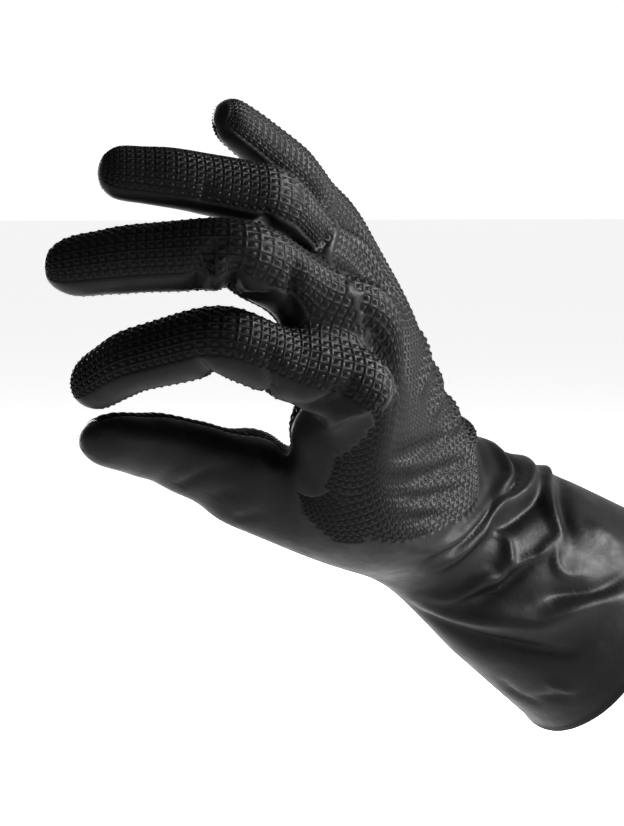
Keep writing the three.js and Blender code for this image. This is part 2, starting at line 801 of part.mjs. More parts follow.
// A ring of surface points at a share of a part's length, and a point on it at a share of the turn
function ring_at(part, share) {
  if (part === 'palm') {
    const distance = share * (share < 0 ? cuff_length : palm_length);
    const above = palm_rows.findIndex((row) => row.distance > distance);
    const i = above < 1 ? palm_rows.length - 2 : above - 1;
    const [from, to] = [palm_rows[i], palm_rows[i + 1]];
    const between = (distance - from.distance) / (to.distance - from.distance);
    return from.list.map((point, column) => point.clone().lerp(to.list[column], between));
  }
  if (part === 'thumb') {
    const distance = share * thumb_path.total;
    const place = (distance - knuckle_distance) / (thumb_end_distance - knuckle_distance);
    return ring(
      thumb_path.at(distance),
      (thumb_sizes.depth * table_value(thumb_profile, place, 'depth')) / 2,
      (thumb_sizes.width * table_value(thumb_profile, place, 'width')) / 2,
      finger_squareness,
      ring_columns,
      0,
    );
  }
  const { total } = finger_paths[part];
  const place = (share * total - web_length) / (total - web_length);
  const width_share = table_value(finger_profile, place, 'width');
  return finger_ring(part, share * total, width_share, table_value(finger_profile, place, 'depth'));
}

function surface_point(part, around, share) {
  const list = ring_at(part, share);
  const place = THREE.MathUtils.euclideanModulo(around, 1) * list.length;
  const low = Math.floor(place);
  return list[low % list.length].clone().lerp(list[(low + 1) % list.length], place - low);
}

const fold_lines = folds.map((fold) => {
  const count = (fold.route.length - 1) * fold_steps;
  return Array.from({ length: count + 1 }, (_, i) => {
    const from = fold.route[Math.floor(i / fold_steps)];
    const to = fold.route[Math.min(Math.floor(i / fold_steps) + 1, fold.route.length - 1)];
    const share = (i % fold_steps) / fold_steps;
    return surface_point(fold.part, mix(from[0], to[0], share), mix(from[1], to[1], share));
  });
});

// The height of all folds at a point: each is highest along its line and runs out at both ends
function folds_height(point) {
  let height = 0;
  folds.forEach((fold, f) => {
    const line = fold_lines[f];
    let nearest = Infinity;
    let place = 0;
    for (let i = 0; i < line.length - 1; i += 1) {
      const way = line[i + 1].clone().sub(line[i]);
      const share = THREE.MathUtils.clamp(point.clone().sub(line[i]).dot(way) / way.lengthSq(), 0, 1);
      const gap = point.distanceTo(line[i].clone().addScaledVector(way, share));
      if (gap < nearest) {
        nearest = gap;
        place = (i + share) / (line.length - 1);
      }
    }
    const run_out = Math.sqrt(Math.sin(Math.PI * place));
    height += fold.height * fold_height * falloff(nearest, fold.reach * fold_reach) * run_out;
  });
  return height;
}

raise(swell_height);
push(web_pushes);
relax(opening_ids, last_relax.reach, last_relax.passes);
push(pad_pushes);
raise(folds_height);

// The inner skin lies one wall inside the outer one, and a rolled bead joins the two round the mouth
const outward = point_normals();
const outer_count = points.length;
for (let id = 0; id < outer_count; id += 1) {
  points.push(points[id].clone().addScaledVector(outward[id], -wall));
}
const skin_quads = quads.slice();
skin_quads.forEach((quad) => {
  quads.push(quad.map((id) => id + outer_count).reverse());
});

const mouth_ids = palm_ids[0];
const mouth_way = frame_axes(arm_frame).along.clone().negate();
const bead_radius = hem_bead / 2;
const bead_forward = Math.sqrt(bead_radius ** 2 - (wall / 2) ** 2);
let bead_ids = mouth_ids;
bead_angles.forEach((degrees) => {
  const angle = radians(degrees);
  const upper = mouth_ids.map((id) => {
    const centre = points[id].clone()
      .addScaledVector(outward[id], -wall / 2)
      .addScaledVector(mouth_way, bead_forward);
    return add_point(centre
      .addScaledVector(mouth_way, bead_radius * Math.cos(angle))
      .addScaledVector(outward[id], bead_radius * Math.sin(angle)));
  });
  join_rings(upper, bead_ids);
  bead_ids = upper;
});
join_rings(mouth_ids.map((id) => id + outer_count), bead_ids);

function shell_geometry() {
  const corners = [];
  quads.forEach(([a, b, c, d]) => {
    const short_first = points[a].distanceTo(points[c]) <= points[b].distanceTo(points[d]);
    if (short_first) corners.push(a, b, c, a, c, d);
    else corners.push(a, b, d, b, c, d);
  });
  const geometry = new THREE.BufferGeometry();
  const numbers = points.flatMap((point) => [point.x, point.y, point.z]);
  geometry.setAttribute('position', new THREE.Float32BufferAttribute(numbers, 3));
  geometry.setIndex(corners);
  geometry.computeVertexNormals();
  return geometry;
}

const nitrile = new THREE.MeshStandardMaterial({ color: 0x1b1b1c, roughness: 0.5, metalness: 0 });
const glove_shell = new THREE.Mesh(shell_geometry(), nitrile);
glove_shell.name = 'glove_shell';

const glove = new THREE.Group();
glove.add(glove_shell);

export default glove;
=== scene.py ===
import math

import bpy
import numpy as np
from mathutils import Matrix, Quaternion, Vector


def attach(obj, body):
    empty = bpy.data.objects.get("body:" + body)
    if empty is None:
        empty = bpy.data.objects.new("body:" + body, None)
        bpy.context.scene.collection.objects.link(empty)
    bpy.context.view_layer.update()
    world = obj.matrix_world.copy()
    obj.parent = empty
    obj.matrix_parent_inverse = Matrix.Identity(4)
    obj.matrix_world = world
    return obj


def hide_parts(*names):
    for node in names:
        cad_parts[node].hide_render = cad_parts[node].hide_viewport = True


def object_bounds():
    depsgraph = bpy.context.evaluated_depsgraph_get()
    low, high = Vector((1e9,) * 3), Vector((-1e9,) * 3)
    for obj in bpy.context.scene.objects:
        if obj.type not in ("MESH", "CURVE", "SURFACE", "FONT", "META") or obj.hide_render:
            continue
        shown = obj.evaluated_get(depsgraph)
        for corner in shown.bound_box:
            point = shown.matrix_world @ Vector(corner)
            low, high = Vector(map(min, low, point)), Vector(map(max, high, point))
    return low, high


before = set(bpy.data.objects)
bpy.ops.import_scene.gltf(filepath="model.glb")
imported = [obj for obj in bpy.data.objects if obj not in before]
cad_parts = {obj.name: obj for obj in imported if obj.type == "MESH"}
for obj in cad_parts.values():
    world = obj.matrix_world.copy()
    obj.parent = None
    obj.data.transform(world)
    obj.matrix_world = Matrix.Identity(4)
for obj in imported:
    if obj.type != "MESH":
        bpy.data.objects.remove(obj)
solid_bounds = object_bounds()

MM = 0.001

# Driving dimensions of the glove
WALL = 1.1
HEM_BEAD = 2.2
CUFF_LENGTH = 69
MOUTH_WIDTH = 74
MOUTH_DEPTH = 61
WRIST_WIDTH = 62
WRIST_DEPTH = 38
PALM_LENGTH = 94
PALM_WIDTH = 84
PALM_DEPTH = 30
KNUCKLE_WIDTH = 21
WEB_LENGTH = 21
WEB_LEAD = 6
WRIST_BEND_LENGTH = 34
SHORTEST_BEND = 6
FINGERS = {
    "index": {"bones": (42, 26, 22), "width": 18.5, "depth": 17.5},
    "middle": {"bones": (46, 27, 24), "width": 18.5, "depth": 20.5},
    "ring": {"bones": (43, 29, 20), "width": 17.5, "depth": 14},
    "little": {"bones": (35, 20, 15.5), "width": 15.5, "depth": 12.5},
}
THUMB = {"bones": (45, 34, 26), "width": 24, "depth": 25}

# The pose, in degrees: knuckle, middle and end joint of each finger, and how far it spreads
ARM_SLOPE = 30.4
ARM_ROLL = 58.2
WRIST_EXTENSION = 30.6
WRIST_DEVIATION = -3.7
SPREADS = {"index": -2, "middle": -11, "ring": -13, "little": -7.5}
BENDS = {
    "index": (42.5, 58, 20),
    "middle": (21.5, 59, 9),
    "ring": (6.5, 42.5, 12),
    "little": (3, 13, 3),
}
THUMB_SPREAD = -2.2
THUMB_DIP = 36.3
THUMB_BENDS = (0, 4, 11.5)

# Where each digit starts: shares of the palm's width, length and depth
KNUCKLE_PLACES = {
    "index": (-0.277, 0.94, 0.28),
    "middle": (-0.029, 1, 0.21),
    "ring": (0.234, 0.957, 0.05),
    "little": (0.448, 0.847, -0.12),
}
THUMB_PLACE = (-0.209, 0.12, -0.16)

# Sections of the cuff: place, size. Sections of the palm: place, width, depth, shift across, shift in rise
CUFF_SECTIONS = ((1, 1), (0.62, 0.61), (0.3, 0.26), (0.08, 0.04))
PALM_SECTIONS = (
    (0.12, 0.2, 0.15, -0.02, 0),
    (0.38, 0.95, 0.85, -0.045, -0.05),
    (0.66, 0.98, 0.92, -0.025, -0.05),
)
KNUCKLE_SHARE = 0.94
KNUCKLE_DEPTH_SHARE = 1.22
CUFF_SQUARENESS = 2.1
PALM_SQUARENESS = 2.7
FINGER_SQUARENESS = 2.2
TIP_ANGLES = (62, 36)
BEND_RADIUS_SHARE = 0.56
THUMB_OPENING = {"start": 0.08, "end": 0.66, "columns": 7}
THUMB_KNUCKLE_SHARE = 1.1

# Width and depth along a digit: place, width, depth as shares of its own
FINGER_PROFILE = ((0, 1.04, 1.05), (0.2, 1, 1), (0.45, 0.97, 0.98), (0.8, 0.92, 0.88), (1, 0.84, 0.8))
THUMB_PROFILE = ((0, 1.1, 1.1), (0.35, 0.94, 0.78), (0.75, 0.84, 0.66), (1, 0.74, 0.56))

# Swells of the whole form: across, along and rise as shares of the palm, then reach and height
SWELLS = ((-0.4, 0.3, -0.45, 20, 3.5), (-0.22, 0.84, -0.5, 13, 4))

# The thumb's web filled out, and the pad under the index's knuckle: place, way, reach and height
WEB_PUSHES = (((-0.25, 0.66, -0.62), (-0.57, 0.79, 0.22), 13, 10),)
PAD_PUSHES = (
    ((-0.3, 0.87, -0.36), (-0.3, 0.1, -0.95), 10, 5),
    ((-0.22, 0.78, -0.45), (0, 0.26, -0.97), 9, 3),
)

# Evening out round the thumb's opening and between the fingers: reach in steps of the mesh, and passes
OPENING_RELAX = (5, 7)
WEB_RELAX = (4, 4)
LAST_RELAX = (8, 16)

# Mesh steps: columns over a finger's back and over its side, and the length of one row
BACK = 4
SIDE = 2
ROW_LENGTH = 4.8
RING = 2 * (BACK + SIDE)
ROUND = 8 * BACK + 2 * SIDE
NAMES = list(FINGERS)

# Steps round a section's curve when its length is measured, and passes of fitting the cage to the form
SECTION_STEPS = 240
FITTING_PASSES = 2


def axis_turn(axis, degrees):
    return Quaternion(axis, math.radians(degrees))


def axes_of(turn):
    """The directions across, along and rise of a frame, as rows."""
    return np.array(turn.to_matrix()).T


X_AXIS = (1, 0, 0)
Y_AXIS = (0, 1, 0)
Z_AXIS = (0, 0, 1)
BASE = axis_turn(Z_AXIS, 90)
ARM = axis_turn(Y_AXIS, ARM_SLOPE) @ axis_turn(X_AXIS, ARM_ROLL) @ BASE
HAND = ARM @ axis_turn(X_AXIS, WRIST_EXTENSION) @ axis_turn(Z_AXIS, -WRIST_DEVIATION)


def smooth(share):
    s = min(1, max(0, share))
    return s * s * (3 - 2 * s)


def profile_value(profile, place, column):
    for low, high in zip(profile, profile[1:]):
        if place <= high[0]:
            share = smooth((place - low[0]) / (high[0] - low[0]))
            return low[column] + (high[column] - low[column]) * share
    return profile[-1][column]


def mix(a, b, share):
    return a + (b - a) * share


def section_points(half_width, half_depth, squareness, columns, first):
    """Points evenly round a superellipse; 0 is just past the thumb side, over the back."""
    angles = np.linspace(0, 2 * math.pi, SECTION_STEPS + 1)
    c = np.cos(angles)
    s = np.sin(angles)
    x = -half_width * np.sign(c) * np.abs(c) ** (2 / squareness)
    y = half_depth * np.sign(s) * np.abs(s) ** (2 / squareness)
    lengths = np.concatenate([[0], np.cumsum(np.hypot(np.diff(x), np.diff(y)))])
    wanted = lengths[-1] * ((np.arange(columns) + first) % columns) / columns
    return np.interp(wanted, lengths, x), np.interp(wanted, lengths, y)


def ring(station, half_width, half_depth, squareness, columns, first):
    point, turn = station
    across, _, rise = axes_of(turn)
    x, y = section_points(half_width, half_depth, squareness, columns, first)
    return point + np.outer(x, across) + np.outer(y, rise)


def arm_turn(distance):
    return ARM.slerp(HAND, smooth(distance / WRIST_BEND_LENGTH + 0.5))


def arm_station(distance):
    """Point and frame at a distance from the wrist, towards the fingers; the mouth side is negative."""
    count = max(1, round(abs(distance)))
    point = np.zeros(3)
    for i in range(count):
        point = point + axes_of(arm_turn(distance * (i + 0.5) / count))[1] * distance / count
    return point, arm_turn(distance)


def place_point(place):
    point, turn = arm_station(place[1] * PALM_LENGTH)
    across, _, rise = axes_of(turn)
    return point + across * place[0] * PALM_WIDTH + rise * place[2] * PALM_DEPTH


class Digit:
    """A digit's middle line: straight bones joined by bends whose length follows their angle."""

    STEP = 0.5

    def __init__(self, start, turn, bones, bends, axis, bend_radius):
        self.total = sum(bones)
        joints = (0, bones[0], bones[0] + bones[1])
        self.path = []
        point = start
        for i in range(int(self.total / self.STEP) + 1):
            bend = 0
            for joint, angle in zip(joints, bends):
                zone = max(SHORTEST_BEND, abs(math.radians(angle)) * bend_radius)
                bend += angle * min(1, max(0, (i * self.STEP - joint) / zone + 0.5))
            bent = turn @ axis_turn(axis, bend)
            self.path.append((point, bent))
            point = point + axes_of(bent)[1] * self.STEP

    def at(self, distance):
        return self.path[min(len(self.path) - 1, max(0, round(distance / self.STEP)))]


def finger_digit(name):
    size = FINGERS[name]
    turn = HAND @ axis_turn(Z_AXIS, -SPREADS[name])
    bends = [-bend for bend in BENDS[name]]
    bend_radius = size["depth"] * BEND_RADIUS_SHARE
    return Digit(place_point(KNUCKLE_PLACES[name]), turn, size["bones"], bends, X_AXIS, bend_radius)


DIGITS = {name: finger_digit(name) for name in NAMES}
DIGITS["thumb"] = Digit(
    place_point(THUMB_PLACE),
    HAND @ axis_turn(X_AXIS, -THUMB_DIP) @ axis_turn(Z_AXIS, -THUMB_SPREAD),
    THUMB["bones"],
    THUMB_BENDS,
    Z_AXIS,
    THUMB["depth"],
)


def finger_ring(name, distance, width_share, depth_share):
    size = FINGERS[name]
    half_width = size["width"] * width_share / 2
    half_depth = size["depth"] * depth_share / 2
    return ring(DIGITS[name].at(distance), half_width, half_depth, FINGER_SQUARENESS, RING, SIDE // 2)


def palm_column(finger, column):
    """Column of the palm's ring that a finger's column joins, or None between two fingers."""
    if column <= BACK:
        return finger * BACK + column
    if BACK + SIDE <= column <= 2 * BACK + SIDE:
        return (4 * BACK + SIDE + (3 - finger) * BACK + column - BACK - SIDE) % ROUND
    if finger == 3 and column < BACK + SIDE:
        return 4 * BACK + column - BACK
    if finger == 0 and column > 2 * BACK + SIDE:
        return 8 * BACK + SIDE + column - 2 * BACK - SIDE
    return None


def joined_rings(rings):
    """One ring round all four fingers, and the short lines between neighbours, from back to palm."""
    outer = [[] for _ in range(ROUND)]
    webs = [[[] for _ in range(SIDE + 1)] for _ in range(3)]
    for finger, points in enumerate(rings):
        for column, point in enumerate(points):
            target = palm_column(finger, column)
            if target is not None:
                outer[target].append(point)
        for i in range(SIDE + 1):
            if finger < 3:
                webs[finger][i].append(points[BACK + i])
            if finger > 0:
                webs[finger - 1][SIDE - i].append(points[(2 * BACK + SIDE + i) % RING])
    return (
        np.array([np.mean(group, axis=0) for group in outer]),
        [[np.mean(group, axis=0) for group in line] for line in webs],
    )


class Cage:
    """Control mesh: points, and quads with the part, column and row that each one lies at."""

    def __init__(self):
        self.points = []
        self.quads = []
        self.places = []

    def add(self, point):
        self.points.append(np.array(point, float))
        return len(self.points) - 1

    def quad(self, ids, part, column, row):
        self.quads.append(ids)
        self.places.append((PARTS.index(part), column, row))

    def join(self, lower, upper, part, row):
        for i, low in enumerate(lower):
            following = (i + 1) % len(lower)
            self.quad([low, lower[following], upper[following], upper[i]], part, i, row)


PARTS = ["palm"] + NAMES + ["thumb", "tip"]
cage = Cage()


def curve_tangent(before, at, after):
    back = at - before
    ahead = after - at
    a = np.linalg.norm(back, axis=-1, keepdims=True)
    b = np.linalg.norm(ahead, axis=-1, keepdims=True)
    return (back * b / a + ahead * a / b) / (a + b)


def curve_points(p0, m0, p1, m1, t):
    length = np.linalg.norm(p1 - p0, axis=-1, keepdims=True)
    start = 2 * t**3 - 3 * t**2 + 1
    leave = (t**3 - 2 * t**2 + t) * length
    arrive = (t**3 - t**2) * length
    return p0 * start + m0 * leave + p1 * (1 - start) + m1 * arrive


def mean_gap(a, b):
    return np.linalg.norm(a - b, axis=1).mean()


def palm_bands():
    """Rings of the cuff, palm and knuckles, each with its distance from the wrist."""
    bands = []
    for place, size in CUFF_SECTIONS:
        half_width = mix(WRIST_WIDTH, MOUTH_WIDTH, size) / 2
        half_depth = mix(WRIST_DEPTH, MOUTH_DEPTH, size) / 2
        station = arm_station(-place * CUFF_LENGTH)
        points = ring(station, half_width, half_depth, CUFF_SQUARENESS, ROUND, SIDE // 2)
        bands.append((-place * CUFF_LENGTH, points))
    for place, width, depth, shift, lift in PALM_SECTIONS:
        point, turn = arm_station(place * PALM_LENGTH)
        across, _, rise = axes_of(turn)
        point = point + across * shift * PALM_WIDTH + rise * lift * PALM_DEPTH
        half_width = mix(WRIST_WIDTH, PALM_WIDTH, width) / 2
        half_depth = mix(WRIST_DEPTH, PALM_DEPTH, depth) / 2
        squareness = mix(CUFF_SQUARENESS, PALM_SQUARENESS, width)
        points = ring((point, turn), half_width, half_depth, squareness, ROUND, SIDE // 2)
        bands.append((place * PALM_LENGTH, points))
    knuckles = []
    for name in NAMES:
        knuckles.append(finger_ring(name, 0, KNUCKLE_WIDTH / FINGERS[name]["width"], KNUCKLE_DEPTH_SHARE))
    _, width, depth = FINGER_PROFILE[0]
    webs = [finger_ring(name, WEB_LENGTH, width, depth) for name in NAMES]
    beyond = [finger_ring(name, WEB_LENGTH + WEB_LEAD, width, depth) for name in NAMES]
    knuckle_distance = KNUCKLE_SHARE * PALM_LENGTH
    bands.append((knuckle_distance, joined_rings(knuckles)[0]))
    bands.append((knuckle_distance + WEB_LENGTH, joined_rings(webs)[0]))
    bands.append((knuckle_distance + WEB_LENGTH + WEB_LEAD, joined_rings(beyond)[0]))
    return bands, joined_rings(webs)[1]


def palm_rows(bands):
    rows = []
    for i in range(len(bands) - 2):
        distance, here = bands[i]
        next_distance, ahead = bands[i + 1]
        before = bands[i - 1][1] if i else 2 * here - ahead
        m0 = curve_tangent(before, here, ahead)
        m1 = curve_tangent(here, ahead, bands[i + 2][1])
        count = max(1, round(mean_gap(here, ahead) / ROW_LENGTH))
        for row in range(count):
            share = row / count
            rows.append((mix(distance, next_distance, share), curve_points(here, m0, ahead, m1, share)))
    rows.append((bands[-2][0], bands[-2][1]))
    return rows


bands, web_lines = palm_bands()
rows = palm_rows(bands)
row_distances = np.array([distance for distance, _ in rows])
THUMB_LAST_COLUMN = ROUND - SIDE // 2
THUMB_FIRST_COLUMN = THUMB_LAST_COLUMN - THUMB_OPENING["columns"]
THUMB_FIRST_ROW = int(np.argmin(np.abs(row_distances - THUMB_OPENING["start"] * PALM_LENGTH)))
THUMB_LAST_ROW = int(np.argmin(np.abs(row_distances - THUMB_OPENING["end"] * PALM_LENGTH)))


def build_palm():
    ids = []
    for r, (_, points) in enumerate(rows):
        line = []
        beside_thumb = THUMB_FIRST_ROW < r < THUMB_LAST_ROW
        for column, point in enumerate(points):
            hidden = beside_thumb and THUMB_FIRST_COLUMN < column < THUMB_LAST_COLUMN
            line.append(None if hidden else cage.add(point))
        ids.append(line)
    for r in range(len(ids) - 1):
        beside_thumb = THUMB_FIRST_ROW <= r < THUMB_LAST_ROW
        for column in range(ROUND):
            if beside_thumb and THUMB_FIRST_COLUMN <= column < THUMB_LAST_COLUMN:
                continue
            following = (column + 1) % ROUND
            quad = [ids[r][column], ids[r][following], ids[r + 1][following], ids[r + 1][column]]
            cage.quad(quad, "palm", column, r)
    return ids


def close_tip(part, digit, ids, centre_distance, half_width, half_depth, reach, first, wide, row):
    """A rounded end: rings shrinking on an ellipsoid, then a small grid of quads over the tip."""
    point, turn = digit.at(centre_distance)
    across, along, rise = axes_of(turn)
    last = ids
    for i, degrees in enumerate(TIP_ANGLES):
        size = math.sin(math.radians(degrees))
        centre = point + along * reach * math.cos(math.radians(degrees))
        halves = (half_width * size, half_depth * size)
        points = ring((centre, turn), *halves, FINGER_SQUARENESS, len(ids), first)
        upper = [cage.add(p) for p in points]
        cage.join(last, upper, part, row + i)
        last = upper
    high = len(ids) // 2 - wide
    grid = [[None] * (high + 1) for _ in range(wide + 1)]
    for i in range(wide + 1):
        grid[i][0] = last[i]
        grid[i][high] = last[wide + high + wide - i]
    for j in range(1, high):
        grid[wide][j] = last[wide + j]
        grid[0][j] = last[2 * wide + high + high - j]
    for i in range(1, wide):
        for j in range(1, high):
            sideways = mix(cage.points[grid[0][j]], cage.points[grid[wide][j]], i / wide)
            down = mix(cage.points[grid[i][0]], cage.points[grid[i][high]], j / high)
            flat = mix(sideways, down, 0.5) - point
            x = flat @ across / half_width
            z = flat @ rise / half_depth
            forward = reach * math.sqrt(max(0, 1 - x * x - z * z))
            grid[i][j] = cage.add(point + across * x * half_width + rise * z * half_depth + along * forward)
    for i in range(wide):
        for j in range(high):
            cage.quad([grid[i][j], grid[i + 1][j], grid[i + 1][j + 1], grid[i][j + 1]], "tip", i, j)


def build_fingers(palm_ids):
    last_palm = palm_ids[-1]
    webs = []
    for finger, line in enumerate(web_lines):
        ids = [cage.add(point) for point in line[1:-1]]
        first = last_palm[(finger + 1) * BACK]
        last = last_palm[4 * BACK + SIDE + (3 - finger) * BACK]
        webs.append([first] + ids + [last])
    for finger, name in enumerate(NAMES):
        base = []
        for column in range(RING):
            target = palm_column(finger, column)
            if target is not None:
                base.append(last_palm[target])
            elif column < BACK + SIDE:
                base.append(webs[finger][column - BACK])
            else:
                base.append(webs[finger - 1][2 * BACK + 2 * SIDE - column])
        size = FINGERS[name]
        digit = DIGITS[name]
        reach = size["depth"] / 2
        end_distance = digit.total - reach
        count = round((end_distance - WEB_LENGTH) / ROW_LENGTH)
        last = base
        for row in range(1, count + 1):
            share = row / count
            width = profile_value(FINGER_PROFILE, share, 1)
            depth = profile_value(FINGER_PROFILE, share, 2)
            points = finger_ring(name, mix(WEB_LENGTH, end_distance, share), width, depth)
            upper = [cage.add(point) for point in points]
            cage.join(last, upper, name, row - 1)
            last = upper
        _, width, depth = FINGER_PROFILE[-1]
        half_width = size["width"] * width / 2
        half_depth = size["depth"] * depth / 2
        close_tip(name, digit, last, end_distance, half_width, half_depth, reach, SIDE // 2, BACK, count)
    return [point for line in webs for point in line]


def thumb_edge(palm_ids):
    """The opening's points, in the order of the thumb's rings."""
    first_row, last_row = THUMB_FIRST_ROW, THUMB_LAST_ROW
    first, last = THUMB_FIRST_COLUMN, THUMB_LAST_COLUMN
    edge = [(row, last) for row in range(first_row, last_row)]
    edge += [(last_row, column) for column in range(last, first, -1)]
    edge += [(row, first) for row in range(last_row, first_row, -1)]
    edge += [(first_row, column) for column in range(first, last)]
    return [palm_ids[row][column] for row, column in edge]


def build_thumb(edge_ids):
    high = THUMB_LAST_ROW - THUMB_FIRST_ROW
    columns = len(edge_ids)
    first = columns - high // 2
    digit = DIGITS["thumb"]

    def thumb_ring(distance, share):
        across_half = THUMB["depth"] * profile_value(THUMB_PROFILE, share, 2) / 2
        rise_half = THUMB["width"] * profile_value(THUMB_PROFILE, share, 1) / 2
        return ring(digit.at(distance), across_half, rise_half, FINGER_SQUARENESS, columns, first)

    knuckle_distance = THUMB["bones"][0] * THUMB_KNUCKLE_SHARE
    target = thumb_ring(knuckle_distance, 0)
    along = axes_of(digit.at(knuckle_distance)[1])[1]
    start = np.array([cage.points[i] for i in edge_ids])
    inward = start.mean(0) - start
    inward /= np.linalg.norm(inward, axis=1, keepdims=True)
    leaving = inward + along
    leaving /= np.linalg.norm(leaving, axis=1, keepdims=True)
    count = round(mean_gap(start, target) / ROW_LENGTH)
    last = edge_ids
    for row in range(1, count + 1):
        points = curve_points(start, leaving, target, along, row / count)
        upper = [cage.add(p) for p in points]
        cage.join(last, upper, "thumb", row - 1 - count)
        last = upper
    reach = THUMB["width"] / 2
    end_distance = digit.total - reach
    count = round((end_distance - knuckle_distance) / ROW_LENGTH)
    for row in range(1, count + 1):
        share = row / count
        upper = [cage.add(p) for p in thumb_ring(mix(knuckle_distance, end_distance, share), share)]
        cage.join(last, upper, "thumb", row - 1)
        last = upper
    _, width, depth = THUMB_PROFILE[-1]
    half_width = THUMB["depth"] * depth / 2
    half_depth = THUMB["width"] * width / 2
    close_tip("thumb", digit, last, end_distance, half_width, half_depth, reach, first, high, count)


def grid_normals(points, quads):
    across = points[quads[:, 2]] - points[quads[:, 0]]
    other = points[quads[:, 3]] - points[quads[:, 1]]
    face = np.cross(across, other)
    normals = np.zeros_like(points)
    for corner in range(4):
        np.add.at(normals, quads[:, corner], face)
    return normals / np.linalg.norm(normals, axis=1, keepdims=True)


def edges_of(quads):
    pairs = np.sort(np.stack([quads, np.roll(quads, -1, axis=1)], -1).reshape(-1, 2), axis=1)
    edges, where = np.unique(pairs, axis=0, return_inverse=True)
    return edges, where.reshape(len(quads), 4)


def relax(points, quads, seeds, reach, passes, strength=0.6):
    """Evens the surface out near the given points, most of all at them."""
    edges, _ = edges_of(quads)
    steps = np.full(len(points), reach)
    steps[seeds] = 0
    for step in range(1, reach):
        for a, b in ((0, 1), (1, 0)):
            near = edges[steps[edges[:, a]] == step - 1][:, b]
            steps[near] = np.minimum(steps[near], step)
    weight = strength * (1 - steps / reach)[:, None]
    degree = np.bincount(edges.ravel(), minlength=len(points))[:, None]
    for _ in range(passes):
        total = np.zeros_like(points)
        np.add.at(total, edges[:, 0], points[edges[:, 1]])
        np.add.at(total, edges[:, 1], points[edges[:, 0]])
        points = points + (total / degree - points) * weight
    return points


def subdivide(points, quads):
    """One Catmull-Clark step. Its points: the old ones moved, one for each edge, then one for each quad."""
    edges, where = edges_of(quads)
    faces = points[quads].mean(1)
    count = np.bincount(where.ravel(), minlength=len(edges))
    face_sum = np.zeros((len(edges), 3))
    for corner in range(4):
        np.add.at(face_sum, where[:, corner], faces)
    middles = points[edges].mean(1)
    rim = count == 1
    edge_points = np.where(rim[:, None], middles, (points[edges].sum(1) + face_sum) / 4)
    degree = np.bincount(edges.ravel(), minlength=len(points))[:, None]
    middle_sum = np.zeros_like(points)
    for end in range(2):
        np.add.at(middle_sum, edges[:, end], middles)
    face_total = np.zeros_like(points)
    for corner in range(4):
        np.add.at(face_total, quads[:, corner], faces)
    moved = (face_total / degree + 2 * middle_sum / degree + (degree - 3) * points) / degree
    rim_sum = np.zeros_like(points)
    for end in range(2):
        np.add.at(rim_sum, edges[rim][:, end], middles[rim])
    on_rim = np.unique(edges[rim])
    moved[on_rim] = rim_sum[on_rim] / 4 + points[on_rim] / 2
    new_points = np.concatenate([moved, edge_points, faces])
    first_edge = len(points)
    first_face = first_edge + len(edges)
    face_ids = first_face + np.arange(len(quads))
    children = []
    for corner in range(4):
        children.append(np.stack([
            quads[:, corner],
            first_edge + where[:, corner],
            face_ids,
            first_edge + where[:, corner - 1],
        ], axis=1))
    return new_points, np.stack(children, axis=1).reshape(-1, 4)


def swell(points, quads):
    normals = grid_normals(points, quads)
    height = np.zeros(len(points))
    for across, along, rise, reach, most in SWELLS:
        gap = np.linalg.norm(points - place_point((across, along, rise)), axis=1)
        height += most * np.exp(-((gap / reach) ** 2))
    return points + normals * height[:, None]


def push(points, table):
    """Moves the surface near each place of the table one way."""
    moved = points.copy()
    for place, way, reach, most in table:
        gap = np.linalg.norm(points - place_point(place), axis=1)
        moved += np.outer(most * np.exp(-((gap / reach) ** 2)), np.array(way) @ axes_of(HAND))
    return moved


palm_ids = build_palm()
web_ids = build_fingers(palm_ids)
opening_ids = thumb_edge(palm_ids)
build_thumb(opening_ids)
cage_quads = np.array(cage.quads)
cage_places = np.array(cage.places)
cage_points = np.array(cage.points)
cage_points = relax(cage_points, cage_quads, opening_ids, *OPENING_RELAX)
cage_points = relax(cage_points, cage_quads, web_ids, *WEB_RELAX)
cage_points = push(swell(cage_points, cage_quads), WEB_PUSHES)
cage_points = relax(cage_points, cage_quads, opening_ids, *LAST_RELAX)
cage_points = push(cage_points, PAD_PUSHES)


def fine_skin(points, quads):
    first_points, first_quads = subdivide(points, quads)
    return first_points, first_quads, *subdivide(first_points, first_quads)


def fitted_cage(points, quads):
    """Subdividing draws a rounded form in, so the control points are moved out by as much."""
    control = points
    for _ in range(FITTING_PASSES):
        control = control + points - fine_skin(control, quads)[2][: len(points)]
    return control


fitted_points = fitted_cage(cage_points, cage_quads)
cell_points, cell_quads, skin_points, skin_quads = fine_skin(fitted_points, cage_quads)

# Each quad of the first step is one cell, about as wide as one mesh of the grip texture
CELL_COLUMN = np.array([0, 1, 1, 0])
CELL_ROW = np.array([0, 0, 1, 1])
cell_part = np.repeat(cage_places[:, 0], 4)
cell_column = 2 * np.repeat(cage_places[:, 1], 4) + np.tile(CELL_COLUMN, len(cage_quads))
cell_row = 2 * np.repeat(cage_places[:, 2], 4) + np.tile(CELL_ROW, len(cage_quads))

